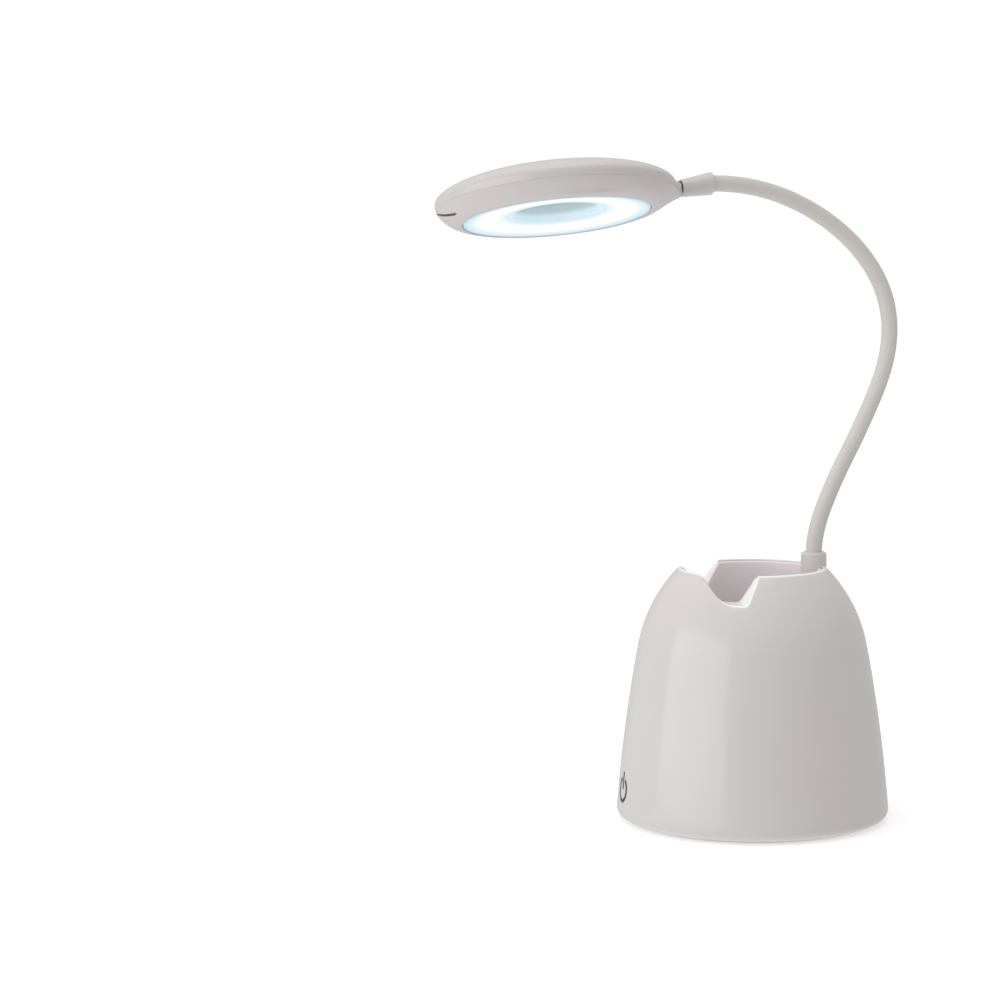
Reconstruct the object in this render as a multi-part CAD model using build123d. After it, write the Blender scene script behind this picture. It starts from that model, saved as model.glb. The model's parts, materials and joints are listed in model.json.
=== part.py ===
from build123d import *
from math import cos, radians, sin, sqrt
import os

# A desk lamp: a bell-shaped pen pot as its base, a bendable gooseneck arm and a flat ring head.
# Millimetres and degrees. The origin is at the middle of the base's underside, +Z is up,
# -Y is the front (the side with the touch mark), +Y is the back (the side with the arm).

# ---- base shell
base_r = 55.0              # widest radius, just above the floor
shell_foot = 0.8           # the shell's bottom edge above the floor
corner_r = 3.5             # rounding of the bottom corner
wall_lean = 4.5            # inward lean of the wall at its bottom
shoulder_r = 46.2          # radius where the wall turns into the shoulder
shoulder_z = 70.5
rim_r = 29.8               # outer radius of the rim
rim_z = 102.0
rim_lip = 1.5              # rounding of the rim
wall = 2.6
mouth_r = 28.3             # opening in the rim that takes the pen cup

# ---- the two rim notches, one cut straight across along X
notch_front = -23.6        # where the front lobe starts to fall
notch_floor_front = -19.2
notch_floor_back = -10.0
notch_back = -5.8
notch_depth = 11.1
notch_round = 4.0          # rounding of the front lobe and of the floor's front corner
notch_heel = 1.5           # rounding of the floor's back corner

# ---- pen cup
fit_gap = 0.1              # between pieces that slide together
cup_r = 26.3               # inner radius at the rim
cup_floor_r = 24.3
cup_floor_z = 27.0         # top of the cup's floor
cup_wall = 1.8
cup_top_drop = 0.8         # the cup's lip below the shell's rim
collar_h = 15.0            # height of the thick collar behind the notches

# ---- arm socket in the pen cup
socket_y = 26.0
socket_r = 5.2
socket_top = 107.5
socket_chamfer = 0.9
socket_shelf = 88.0        # top of the shelf that the ferrule stands on
shelf_t = 4.0
duct_r = 4.2               # wire duct below the shelf
ferrule_tail_r = 2.3
ferrule_h = 10.0
nut_h = 3.6
nut_across = 7.0

# ---- bottom cover and what stands on it
pad_t = 1.0
pad_inset = 1.3            # from the cover's edge to the pad's edge
cover_inset = 5.7          # from the base's widest radius to the cover's edge
cover_t = 2.4
screw_inset = 10.4         # from the base's widest radius to the cover screws
boss_r = 3.4
boss_h = 11.0
screw_r = 1.25
screw_head_r = 2.4
screw_head_h = 1.4
screw_len = 9.0
ballast_inset = 15.0       # from the base's widest radius to the ballast
ballast_t = 4.8
post_r = 3.8
tray_w = 53.0
tray_front = -35.0
tray_back = 19.0
tray_t = 1.2
tray_wall_h = 5.0
battery_w = 50.0
battery_d = 34.0
battery_h = 8.0
board_w = 22.0
board_front = 20.4
board_inset = 7.0          # from the base's widest radius to the control board
board_t = 1.2
board_z = 9.9              # underside of the control board
board_post_in = 3.0        # from the board's back edge to its posts
board_post_x = 8.0
board_post_r = 1.8
wire_r = 0.5
wire_x = 0.8

# ---- charging socket and its light, at the back
port_w = 9.0
port_h = 3.2
port_depth = 7.6
port_lip = 0.45
port_wall = 0.35
lamp_x = 8.4
lamp_r = 1.1

# ---- touch mark on the front
mark_z = 13.5
mark_r = 5.15
mark_line = 1.0
mark_gap = 56.0            # opening of the ring, degrees
mark_bar_top = 7.15        # above the ring's centre
mark_bar_bottom = 0.25
mark_t = 0.4
pad_half_w = 9.0
pad_low = 6.5
pad_high = 22.5
foil_t = 0.3

# ---- gooseneck
arm_r = 3.3
arm_length = 206.0         # from the socket's top to the head's neck
joint_count = 14
ball_r = 2.6
ball_gap = 0.08            # between a ball and its cup
link_gap = 1.45            # from a joint's centre to the next link's shoulder
core_r = 1.7
core_bore_r = 1.05
core_clear = 0.05
core_end = 0.6             # the core's end stays this far from its own ball's centre
core_root_len = 8.0        # core held in the root ferrule
# Bend of each link at rest, positive towards the front. The first and last are half links.
link_bends = [-12.5, -12.0, -5.0, -0.5, 0.5, 6.5, 14.0, 19.5, 19.5, 14.5, 11.5, 10.0, 10.5, 10.5, 5.1]
sway_joints = (2, 4, 10, 12)    # these bend sideways, the others forwards and back
lean_joints = (2, 4)            # these hold a slight sideways lean at rest
lean_at_joint = -6.6

# ---- head, in its own frame: lens plane at Z = 0, back cover towards +Z, neck towards +Y
neck_reach = 19.3          # from the disc's edge to the neck's end, where the arm enters
neck_z = 12.1              # the neck's axis above the lens plane
head_r = 48.0
head_wide_z = 9.0          # height of the widest ring
dome_h = 10.5              # crown of the back cover above the widest ring
part_z = 6.6               # parting line
neck_part_z = 8.9          # parting line beside the neck
part_gap = 0.4
shell_t = 1.7
rim_tuck = 0.4             # how far the parting line is drawn in from the widest ring
bezel_r = 38.4             # the lowest ring
bezel_wall = 1.9           # wall between the diffuser's seat and the hollow
bezel_mid_in = 3.4         # the bezel's middle ring, in from the widest ring
bezel_mid_z = 2.9
lens_r = 37.3
lens_gap = 0.5
lens_t = 1.8
lens_low = 0.2             # the diffuser's outer edge above the bezel's lowest ring
lens_rise = 3.2            # the same at its inner edge
ring_r = 19.4              # outer radius of the middle ring
ring_front_r = 18.0
ring_waist_r = 17.3
ring_back_r = 18.9
ring_waist_z = 10.0
ledge_r = 36.0
ledge_top = 5.3
guide_t = 1.8
reflector_t = 0.3
led_ring_r = 29.0
led_count = 24
led_w = 3.5
led_d = 2.8
led_h = 0.8
led_board_in = 21.0
led_board_out = 40.0
led_board_t = 1.2
led_board_z = 9.6
head_boss_ring = 35.5
head_boss_r = 2.6
head_screw_r = 1.0
head_screw_len = 6.0
head_screw_head_r = 1.9
head_screw_head_h = 1.1
dish_r = 60.0              # radius of the shallow round dish around the hole
dish_half = 24.5
dish_y = 12.5
dish_rim_z = 18.3
neck_r = 4.6
neck_len = 13.6
neck_throat_r = 3.5
neck_throat_z = 10.4
neck_bridge_in = 1.0       # the parting line steps up to the neck this far inside the disc's edge
fairing_root_in = 12.0     # where the fairing starts, inside the disc's edge
fairing_mid_in = 4.0
fairing_root_half = 17.0
fairing_mid_half = 8.6
fairing_root_up = 7.2
fairing_mid_up = 5.0
fairing_root_z = 9.8
slot_w = 0.8               # gap between the back cover and the neck
arm_in_neck = 4.0
head_ferrule_len = 5.0
head_ferrule_r = 2.3

cover_z = pad_t
cover_top = pad_t + cover_t
tray_z = cover_top + ballast_t
cover_r = base_r - cover_inset
pad_r = cover_r - pad_inset
screw_ring_r = base_r - screw_inset
ballast_r = base_r - ballast_inset
board_back = base_r - board_inset
board_post_y = board_back - board_post_in
pitch = arm_length / joint_count
neck_y = head_r + neck_reach
throat_y = neck_y - neck_len
neck_bridge_y = head_r - neck_bridge_in
fairing_root_y = head_r - fairing_root_in
fairing_mid_y = head_r - fairing_mid_in
ferrule_y = neck_y - arm_in_neck - head_ferrule_len


def on_axis(radius, low, high, x=0.0, y=0.0):
    """An upright cylinder from one height to another."""
    return Pos(x, y, low) * Cylinder(radius, high - low, align=(Align.CENTER, Align.CENTER, Align.MIN))


def block(x0, x1, y0, y1, z0, z1):
    """A box between two corners."""
    return Pos(x0, y0, z0) * Box(x1 - x0, y1 - y0, z1 - z0, align=(Align.MIN, Align.MIN, Align.MIN))


def turned(*edges):
    """A solid of revolution about Z from a closed outline in the XZ plane."""
    return revolve(make_face(list(edges)), axis=Axis.Z)


def turned_points(*points):
    return turned(Polyline([(r, 0, z) for r, z in points], close=True))


def around(count, radius, start=0.0):
    """Places on a circle."""
    return [Pos(radius * cos(radians(start + 360 / count * i)), radius * sin(radians(start + 360 / count * i)), 0)
            for i in range(count)]


# ------------------------------------------------------------------ base

def bell(inset, low):
    """The base's outer form, drawn in by inset and standing on the height low."""
    foot = Vector(base_r, 0, shell_foot + corner_r)
    shoulder = Vector(shoulder_r, 0, shoulder_z)
    rim = Vector(rim_r, 0, rim_z)
    up = Vector(-sin(radians(wall_lean)), 0, cos(radians(wall_lean)))
    lower = TangentArc(foot, shoulder, tangent=up)
    turn = lower % 1
    upper = TangentArc(shoulder, rim, tangent=turn)
    end = upper % 1
    a = foot - Vector(up.Z, 0, -up.X) * inset
    b = shoulder - Vector(turn.Z, 0, -turn.X) * inset
    c = rim - Vector(end.Z, 0, -end.X) * inset
    wall_low = TangentArc(a, b, tangent=up)
    wall_high = TangentArc(b, c, tangent=turn)
    top = Line(c, (0, 0, c.Z))
    spine = Line((0, 0, c.Z), (0, 0, low))
    if inset > 0:
        bottom = [Line((0, 0, low), (a.X, 0, low)), Line((a.X, 0, low), a)]
    else:
        flat = (a.X - corner_r, 0, low)
        bottom = [Line((0, 0, low), flat), TangentArc(flat, a, tangent=(1, 0, 0))]
    return turned(*bottom, wall_low, wall_high, top, spine)


def notch_cutter():
    """The profile of both notches, run straight across along X."""
    floor = rim_z - notch_depth
    over = rim_z + 20
    eave = rim_z + 0.05
    outline = Polyline(
        (-rim_r - 4, over), (-rim_r - 4, eave), (notch_front, eave), (notch_floor_front, floor),
        (notch_floor_back, floor), (notch_back, eave), (notch_back, over), close=True)
    face = make_face(Plane.YZ * outline)
    front = [v for v in face.vertices() if v.Z < eave + 0.01 and -rim_r < v.Y < notch_floor_front + 0.01]
    rounded = Face(face.wire().fillet_2d(notch_round, front))
    heel = [v for v in rounded.vertices() if abs(v.Y - notch_floor_back) < 0.01 and abs(v.Z - floor) < 0.01]
    rounded = Face(rounded.wire().fillet_2d(notch_heel, heel))
    return extrude(rounded, base_r, dir=(1, 0, 0), both=True)


def screw_places():
    return around(4, screw_ring_r, start=45.0)


def outer_shell():
    solid = bell(0, shell_foot)
    lip = [e for e in solid.edges().filter_by(GeomType.CIRCLE) if abs(e.center().Z - rim_z) < 0.01]
    solid = fillet(lip, rim_lip)
    solid -= bell(wall, cover_top)
    solid -= on_axis(mouth_r, cover_top, rim_z + 1)
    solid -= on_axis(cover_r + fit_gap, 0, cover_top)
    rib = block(0, base_r - wall / 2 - screw_ring_r, -1, 1, cover_top, cover_top + boss_h)
    for i, place in enumerate(screw_places()):
        solid += place * on_axis(boss_r, cover_top, cover_top + boss_h)
        solid += place * Rot(0, 0, 45 + 90 * i) * rib
        solid -= place * on_axis(screw_r + fit_gap / 2, cover_top, cover_top + screw_len)
    solid -= notch_cutter()
    solid -= on_axis(socket_r + fit_gap, socket_shelf, rim_z + 1, y=socket_y)
    solid -= port_cutter(port_w / 2 + port_lip, port_h / 2 + port_lip)
    solid -= lamp_place() * Cylinder(lamp_r + fit_gap, 12)
    solid -= power_mark()
    return solid


def mark_prism():
    """The touch mark as a bar that runs through the front wall."""
    ring = Circle(mark_r) - Circle(mark_r - mark_line)
    reach = 2 * mark_r
    half = radians(mark_gap / 2)
    wedge = make_face(Polyline((0, 0), (-reach * sin(half), reach * cos(half)),
                               (reach * sin(half), reach * cos(half)), close=True))
    bar_h = mark_bar_top - mark_bar_bottom
    bar = Pos(0, mark_bar_bottom + bar_h / 2) * Rectangle(mark_line, bar_h)
    front = Plane(origin=(0, -base_r - 5, mark_z), x_dir=(1, 0, 0), z_dir=(0, -1, 0))
    return [extrude(front * (ring - wedge), -20), extrude(front * bar, -20)]


def power_mark():
    """The dark touch mark, let into the front wall and flush with it."""
    skin = bell(0, shell_foot) - bell(mark_t, shell_foot - 1)
    strokes = [skin & stroke for stroke in mark_prism()]
    return Compound(children=[solid for stroke in strokes for solid in stroke.solids()])


def touch_electrode():
    """A foil on the inside of the wall, behind the touch mark."""
    skin = bell(wall, cover_top) - bell(wall + foil_t, cover_top - 1)
    return skin & block(-pad_half_w, pad_half_w, -base_r, 0, pad_low, pad_high)


def touch_contact():
    """A bent strip from the tray's front wall to the foil."""
    touch = -base_r + wall + foil_t + 1.3
    path = Polyline((tray_front - 1.2, tray_z + tray_t + 1.0), (tray_front - 6, tray_z + tray_t + 1.0),
                    (touch, mark_z), (touch + 2.0, mark_z + 3.5))
    path = Plane.YZ * path
    strip = sweep(Plane(origin=path @ 0, z_dir=path % 0, x_dir=(1, 0, 0)) * Rectangle(4.0, 0.3),
                  path=path, transition=Transition.RIGHT)
    foot = block(-2, 2, tray_front - 1.35, tray_front - 0.0, tray_z + tray_t + 0.85, tray_z + tray_t + 1.15)
    return strip + foot


def pen_cup():
    """The inner pot with its floor, its thick collar behind the notches and the arm's socket."""
    top = rim_z - cup_top_drop
    collar_low = rim_z - collar_h
    under = cup_floor_z - cup_wall
    cup = turned_points((0, under), (cup_floor_r + cup_wall, under), (cup_r + cup_wall, collar_low),
                        (mouth_r - fit_gap, collar_low), (mouth_r - fit_gap, top), (0, top))
    slab = on_axis(base_r, collar_low, top)
    cup += bell(wall + fit_gap, collar_low - 5) & slab
    cup += on_axis(socket_r, under, top, y=socket_y)
    hollow = turned_points((0, cup_floor_z), (cup_floor_r, cup_floor_z), (cup_r, top + 1), (0, top + 1))
    ring = [e for e in hollow.edges().filter_by(GeomType.CIRCLE) if abs(e.center().Z - cup_floor_z) < 0.01]
    cup -= fillet(ring, 3.0)
    cup -= notch_cutter()
    socket = on_axis(socket_r, under, socket_top, y=socket_y)
    rim = [e for e in socket.edges().filter_by(GeomType.CIRCLE) if abs(e.center().Z - socket_top) < 0.01]
    cup += chamfer(rim, socket_chamfer)
    cup -= on_axis(arm_r + fit_gap / 2, socket_shelf, socket_top + 1, y=socket_y)
    cup -= on_axis(ferrule_tail_r + fit_gap, socket_shelf - shelf_t, socket_shelf, y=socket_y)
    cup -= on_axis(duct_r, under - 1, socket_shelf - shelf_t, y=socket_y)
    return cup


def root_ferrule():
    """The threaded bush at the arm's root, standing on the socket's shelf."""
    head = on_axis(arm_r, socket_shelf, socket_shelf + ferrule_h, y=socket_y)
    tail = on_axis(ferrule_tail_r, socket_shelf - shelf_t - nut_h - 2, socket_shelf, y=socket_y)
    bore = on_axis(core_r + core_clear, 0, socket_top, y=socket_y)
    return head + tail - bore


def root_nut():
    low = socket_shelf - shelf_t - nut_h
    hexagon = Pos(0, socket_y, low) * extrude(RegularPolygon(nut_across / 2, 6, major_radius=False), nut_h)
    return hexagon - on_axis(ferrule_tail_r + fit_gap / 2, low - 1, low + nut_h + 1, y=socket_y)


def base_cover():
    solid = on_axis(cover_r, cover_z, cover_top)
    solid += on_axis(post_r, cover_top, tray_z)
    for side in (-1, 1):
        solid += on_axis(board_post_r, cover_top, board_z, x=side * board_post_x, y=board_post_y)
    for place in screw_places():
        solid -= place * on_axis(screw_r + fit_gap, 0, cover_top + 1)
        solid -= place * on_axis(screw_head_r + fit_gap, 0, cover_z + screw_head_h)
    return solid


def rubber_pad():
    return on_axis(pad_r, 0, pad_t)


def cover_screws():
    screw = on_axis(screw_head_r, cover_z, cover_z + screw_head_h)
    screw += on_axis(screw_r, cover_z + screw_head_h, cover_top + screw_len - 0.5)
    screw -= Pos(0, 0, cover_z) * Box(2.6, 0.6, 1.0)
    screw -= Pos(0, 0, cover_z) * Box(0.6, 2.6, 1.0)
    return Compound(children=[place * screw for place in screw_places()])


def ballast_plate():
    return on_axis(ballast_r, cover_top, tray_z) - on_axis(post_r + fit_gap, 0, tray_z + 1)


def battery_tray():
    half = tray_w / 2
    solid = block(-half, half, tray_front, tray_back, tray_z, tray_z + tray_t + tray_wall_h)
    solid -= block(-half + tray_t, half - tray_t, tray_front + tray_t, tray_back - tray_t,
                   tray_z + tray_t, tray_z + 50)
    ledge = block(-board_w / 2, board_w / 2, tray_back, board_front + 2.4, tray_z, board_z)
    return solid + ledge


def battery():
    middle = (tray_front + tray_back) / 2
    low = tray_z + tray_t
    cell = Pos(0, middle, low) * Box(battery_w, battery_d, battery_h, align=(Align.CENTER, Align.CENTER, Align.MIN))
    cell = fillet(cell.edges().filter_by(Axis.X), 2.2)
    tab = block(-5, 5, middle + battery_d / 2, middle + battery_d / 2 + 4, low + 3.0, low + 4.2)
    return cell + tab


def control_board():
    half = board_w / 2
    top = board_z + board_t
    board = block(-half, half, board_front, board_back, board_z, top)
    chips = [block(-8, -3, board_back - 18, board_back - 13, top, top + 1.0),
             block(3, 7, board_back - 17, board_back - 14, top, top + 1.3),
             block(-8, -6, board_back - 10, board_back - 8, top, top + 0.8),
             block(3, 5, board_back - 10, board_back - 8.8, top, top + 0.8)]
    return Compound(children=[board] + chips)


def port_z():
    return board_z + board_t + port_h / 2


def port_cutter(half_w, half_h):
    """The rounded slot in the back wall for the charging socket."""
    slot = SlotOverall(2 * half_w, 2 * half_h)
    return Plane(origin=(0, base_r - 8, port_z()), x_dir=(-1, 0, 0), z_dir=(0, 1, 0)) * extrude(slot, 12)


def charging_socket():
    """A metal sleeve with a tongue, its mouth in the back wall's slot."""
    mouth = base_r - 1.4
    back = Plane(origin=(0, mouth - port_depth, port_z()), x_dir=(-1, 0, 0), z_dir=(0, 1, 0))
    sleeve = back * extrude(SlotOverall(port_w, port_h), port_depth)
    inner = SlotOverall(port_w - 2 * port_wall, port_h - 2 * port_wall)
    sleeve -= back * Pos(0, 0, 1.2) * extrude(inner, port_depth)
    tongue = back * Pos(0, 0, 1.2) * extrude(Rectangle(port_w - 2.6, 0.7), port_depth - 2.4)
    return sleeve + tongue


def lamp_place():
    return Pos(lamp_x, base_r - 4, port_z()) * Rot(90, 0, 0)


def charge_indicator():
    """A small light pipe beside the charging socket."""
    reach = sqrt(base_r ** 2 - lamp_x ** 2) - 0.9
    pipe = Plane(origin=(lamp_x, board_back - 3, port_z()), z_dir=(0, 1, 0))
    body = pipe * extrude(Circle(lamp_r), reach - board_back + 3)
    foot = block(lamp_x - lamp_r, lamp_x + lamp_r, board_back - 4, board_back - 1.6,
                 board_z + board_t, port_z() + lamp_r)
    return body + foot


def base_leads():
    """The two lead wires, straight up the duct from the board into the ferrule."""
    low = board_z + board_t
    high = socket_shelf + ferrule_h - core_root_len - 0.5
    return Compound(children=[on_axis(wire_r, low, high, x=side * wire_x, y=socket_y) for side in (-1, 1)])


# ------------------------------------------------------------------ gooseneck

def along(bend, length, s):
    """The frame at the distance s on a link that bends evenly by bend over its length."""
    angle = radians(bend) * s / length
    if abs(bend) < 1e-6:
        return Pos(0, 0, s)
    rho = length / radians(bend)
    return Location((0, -rho * (1 - cos(angle)), rho * sin(angle)), (bend * s / length, 0, 0))


def bent_rod(radius, bend, length, low, high):
    """A round rod along the link's centreline, between two distances on it."""
    if abs(bend) < 1e-6:
        return on_axis(radius, low, high)
    rho = length / radians(bend)
    face = along(bend, length, low) * Circle(radius)
    side = 1 if bend > 0 else -1
    centre = Axis((0, -rho, 0), (side, 0, 0))
    return revolve(face, axis=centre, revolution_arc=abs(bend) * (high - low) / length)


def pipe(radius, bore, low, high):
    """A straight tube along Z."""
    return on_axis(radius, low, high) - on_axis(bore, low - 1, high + 1)


def link_frames():
    """The frame at the start of every link, from the root's half link to the arm's end."""
    frames = [Pos(0, socket_y, socket_top)]
    for number, bend in enumerate(link_bends, start=1):
        half = number == 1 or number == len(link_bends)
        length = pitch / 2 if half else pitch
        end = frames[-1] * along(bend, length, length)
        if number in lean_joints:
            end = end * Rot(0, lean_at_joint, 0)
        frames.append(end)
    return frames


def sleeve_link(bend, length, low=link_gap, has_ball=True, has_cup=True):
    """One stretch of the arm's skin: a ball at its start, a cup at its end and a bore for the core."""
    solid = bent_rod(arm_r, bend, length, low, length)
    if has_ball:
        solid += Sphere(ball_r)
    if has_cup:
        solid -= along(bend, length, length) * Sphere(ball_r + ball_gap)
    return solid - bent_rod(core_r + core_clear, bend, length, low - 2 * ball_r, length + 1)


def core_link(bend, length, low, high):
    """The steel core of one stretch, hollow for the two lead wires."""
    return bent_rod(core_r, bend, length, low, high) - bent_rod(core_bore_r, bend, length, low - 0.2, high + 0.2)


def gooseneck(parts):
    frames = link_frames()
    last = len(link_bends)
    cup_stop = ball_r + ball_gap + 0.1
    for number, bend in enumerate(link_bends, start=1):
        frame = frames[number - 1]
        half = number == 1 or number == last
        length = pitch / 2 if half else pitch
        if number == 1:
            held = socket_top - socket_shelf - ferrule_h
            skin = sleeve_link(bend, length, low=0, has_ball=False)
            skin += pipe(arm_r, core_r + core_clear, -held, 0)
            core = core_link(bend, length, 0, length - cup_stop)
            core += pipe(core_r, core_bore_r, -held - core_root_len, 0)
            names = "gooseneck_root", "core_root"
        elif number == last:
            end = along(bend, length, length)
            skin = sleeve_link(bend, length, has_cup=False)
            skin += end * pipe(arm_r, core_r + core_clear, 0, arm_in_neck)
            core = core_link(bend, length, core_end, length)
            core += end * pipe(core_r, core_bore_r, 0, arm_in_neck + head_ferrule_len - 1)
            names = "gooseneck_tip", "core_tip"
        else:
            skin = sleeve_link(bend, length)
            core = core_link(bend, length, core_end, length - cup_stop)
            names = f"gooseneck_link_{number - 1:02d}", f"core_link_{number - 1:02d}"
        parts[names[0]] = frame * skin
        parts[names[1]] = frame * core


# ------------------------------------------------------------------ head

def head_frame():
    """The head's frame: its origin in the middle of the lens plane."""
    return link_frames()[-1] * Location((0, -neck_z, neck_y), (-90, 0, 0))


def dome(inset):
    """The back cover's outer form, drawn in by inset, down to the parting line."""
    low = part_z + part_gap / 2
    crown = Plane.XZ * EllipticalCenterArc((0, head_wide_z), head_r - inset, dome_h - inset, 0, arc_size=90)
    skirt_r = head_r - inset - rim_tuck
    skirt = Line((skirt_r, 0, low), crown @ 0)
    floor = Line((0, 0, low), (skirt_r, 0, low))
    spine = Line(crown @ 1, (0, 0, low))
    return turned(floor, skirt, crown, spine)


def dish(extra):
    """The ball that hollows the shallow round dish around the hole, larger by extra."""
    height = dish_rim_z + sqrt(dish_r ** 2 - dish_half ** 2)
    return Pos(0, dish_y, height) * Sphere(dish_r + extra)


def across(y, z=neck_z):
    """A plane square to the neck, looking back towards the arm."""
    return Plane(origin=(0, y, z), x_dir=(1, 0, 0), z_dir=(0, 1, 0))


def along_neck(radius, y0, y1):
    return across(y0) * extrude(Circle(radius), y1 - y0)


def fairing(grown=0.0):
    """The form that leads from the disc to the throat of the neck."""
    middle_z = (fairing_root_z + neck_throat_z) / 2
    throat = neck_throat_r - 0.2 + grown
    return loft([
        across(fairing_root_y, fairing_root_z) * Ellipse(fairing_root_half + grown, fairing_root_up + grown),
        across(fairing_mid_y, middle_z) * Ellipse(fairing_mid_half + grown, fairing_mid_up + grown),
        across(throat_y + 0.6, neck_throat_z) * Ellipse(throat + 0.01, throat),
    ])


def neck_bore():
    """Room in the neck for the arm's end, the ferrule and the leads."""
    socket = along_neck(arm_r + fit_gap / 2, neck_y - arm_in_neck, neck_y + 1)
    socket += along_neck(head_ferrule_r + fit_gap / 2, ferrule_y, neck_y - arm_in_neck)
    return socket + along_neck(wire_x + wire_r + 0.2, fairing_root_y - 4, ferrule_y)


def lens_top(radius):
    """Height of the diffuser's upper face."""
    return lens_low + lens_t + (lens_rise - lens_low) * (lens_r - radius) / (lens_r - ring_r)


def front_housing():
    """The lower half of the head: bezel, lens ledge, its share of the fairing and the neck."""
    high = part_z - part_gap / 2
    rim_out = head_r - rim_tuck
    lens_edge = lens_r + lens_gap
    inside = lens_edge + bezel_wall
    mid = Vector(head_r - bezel_mid_in, 0, bezel_mid_z)
    skin = ThreePointArc((rim_out, 0, high), mid, (bezel_r, 0, 0))
    solid = turned(skin, Line((bezel_r, 0, 0), (lens_edge, 0, 0)), Line((lens_edge, 0, 0), (lens_edge, 0, high)),
                   Line((lens_edge, 0, high), (rim_out, 0, high)))
    lining = ThreePointArc((rim_out - shell_t, 0, high), mid + Vector(-shell_t, 0, shell_t * 0.8),
                           (inside, 0, shell_t))
    solid -= turned(lining, Line((inside, 0, shell_t), (inside, 0, high)),
                    Line((inside, 0, high), (rim_out - shell_t, 0, high)))
    solid -= pipe_cut(lens_edge, inside + 0.1, ledge_top, high)
    solid += turned_points((ledge_r, lens_top(ledge_r)), (lens_edge + 0.1, lens_top(lens_edge + 0.1)),
                           (lens_edge + 0.1, ledge_top), (ledge_r, ledge_top))
    share = block(-head_r, head_r, 0, throat_y, -5, high)
    share += block(-head_r, head_r, neck_bridge_y, throat_y + 0.5, -5, neck_part_z - part_gap / 2)
    solid += (fairing() & share) - on_axis(rim_out - shell_t, -5, 30)
    solid += loft([across(throat_y, neck_throat_z) * Circle(neck_throat_r), across(neck_y) * Circle(neck_r)],
                  ruled=True)
    return solid - neck_bore()


def pipe_cut(inner, outer, low, high):
    """A ring-shaped cutter."""
    return on_axis(outer, low, high + 1) - on_axis(inner - 1, low - 1, high + 2)


def back_cover():
    """The domed back of the head with its share of the fairing."""
    low = part_z + part_gap / 2
    solid = dome(0) + (fairing() & block(-head_r, head_r, 0, throat_y - slot_w, low, 40))
    solid -= fairing(part_gap) & block(
        -head_r, head_r, neck_bridge_y - part_gap, throat_y, 0, neck_part_z + part_gap / 2)
    cavity = dome(shell_t) + on_axis(head_r - shell_t - rim_tuck, low - 1, low + 1)
    solid -= cavity - dish(shell_t)
    solid -= dish(0)
    solid -= on_axis(ring_r + fit_gap / 2, 0, 40)
    solid -= neck_bore()
    shaft = dome(shell_t / 2)
    for place in head_boss_places():
        boss = place * on_axis(head_boss_r, led_board_z + led_board_t, head_wide_z + dome_h)
        solid += boss & shaft
        solid -= place * on_axis(head_screw_r + fit_gap / 2, 0, led_board_z + head_screw_len)
    return solid


def head_boss_places():
    return around(3, head_boss_ring, start=30.0)


def inner_ring():
    """The open ring in the middle of the head, waisted inside."""
    front = lens_rise
    high = head_wide_z + dome_h + 1
    outer = on_axis(ring_r, front, high) & (dome(0) + on_axis(ring_r, front, head_wide_z))
    outer -= dish(0)
    waist = ThreePointArc((ring_front_r, 0, front - 0.1), (ring_waist_r, 0, ring_waist_z), (ring_back_r, 0, high))
    core = turned(waist, Line((ring_back_r, 0, high), (0, 0, high)), Line((0, 0, high), (0, 0, front - 0.1)),
                  Line((0, 0, front - 0.1), (ring_front_r, 0, front - 0.1)))
    return outer - core


def diffuser():
    """The dished milky ring that glows."""
    inner = ring_r + fit_gap
    return turned_points((lens_r, lens_top(lens_r) - lens_t), (lens_r, lens_top(lens_r)),
                         (inner, lens_top(inner)), (inner, lens_top(inner) - lens_t))


def light_guide():
    return on_axis(lens_r, ledge_top, ledge_top + guide_t) - on_axis(ring_r + fit_gap, 0, 20)


def led_places():
    return [Rot(0, 0, 360 / led_count * i) * Pos(led_ring_r, 0, 0) for i in range(led_count)]


def leds():
    chip = Box(led_d, led_w, led_h, align=(Align.CENTER, Align.CENTER, Align.MAX))
    return Compound(children=[place * Pos(0, 0, led_board_z) * chip for place in led_places()])


def reflector():
    """A white sheet under the LED board, with a window for each LED."""
    high = led_board_z
    sheet = on_axis(led_board_out - 2, high - reflector_t, high) - on_axis(led_board_in, high - 1, high + 1)
    for place in led_places():
        sheet -= place * Pos(0, 0, high) * Box(led_d + 0.4, led_w + 0.4, 2)
    for place in head_boss_places():
        sheet -= place * on_axis(head_screw_head_r + 0.2, high - 2, high + 1)
    return sheet


def led_board():
    board = on_axis(led_board_out, led_board_z, led_board_z + led_board_t)
    board -= on_axis(led_board_in, led_board_z - 1, led_board_z + led_board_t + 1)
    for place in head_boss_places():
        board -= place * on_axis(head_screw_r + fit_gap, led_board_z - 1, led_board_z + led_board_t + 1)
    return board


def head_screws():
    screw = on_axis(head_screw_head_r, led_board_z - head_screw_head_h, led_board_z)
    screw += on_axis(head_screw_r, led_board_z, led_board_z + head_screw_len - 0.5)
    return Compound(children=[place * screw for place in head_boss_places()])


def head_ferrule():
    """The metal bush on the core's end, inside the neck."""
    return along_neck(head_ferrule_r, ferrule_y, neck_y - arm_in_neck) - along_neck(
        core_r + core_clear, ferrule_y - 1, neck_y)


def head_leads():
    """The two lead wires from the arm's core to the LED board."""
    wire = along_neck(wire_r, led_board_out - 6, ferrule_y + 0.5)
    return Compound(children=[Pos(side * wire_x, 0, 0) * wire for side in (-1, 1)])


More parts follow.
